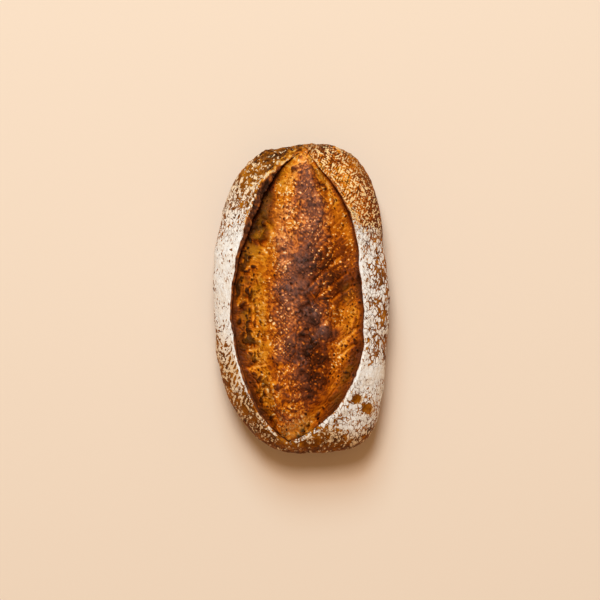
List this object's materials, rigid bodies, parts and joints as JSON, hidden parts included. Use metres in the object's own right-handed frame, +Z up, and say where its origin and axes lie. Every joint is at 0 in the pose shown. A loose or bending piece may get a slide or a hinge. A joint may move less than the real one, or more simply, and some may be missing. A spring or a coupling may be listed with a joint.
{
  "type": "country bread",
  "caption": "Whole oval hearth loaf with a floured crust, one long score torn wide open from end to end, a raised ear beside it and a flat underside",
  "frame": {"origin": "on the surface the loaf rests on, under the middle of its outline", "axes": "+Y along the loaf towards the end where the ear starts, +X to the right seen from above with +Y away from the viewer, +Z up"},
  "size_m": [0.154, 0.2696, 0.0907],
  "materials": {
    "baked_crust": "matt floured crust, satin where the crumb tore open"
  },
  "bodies": {
    "root": {"loaf": "baked_crust"}
  },
  "joints": []
}
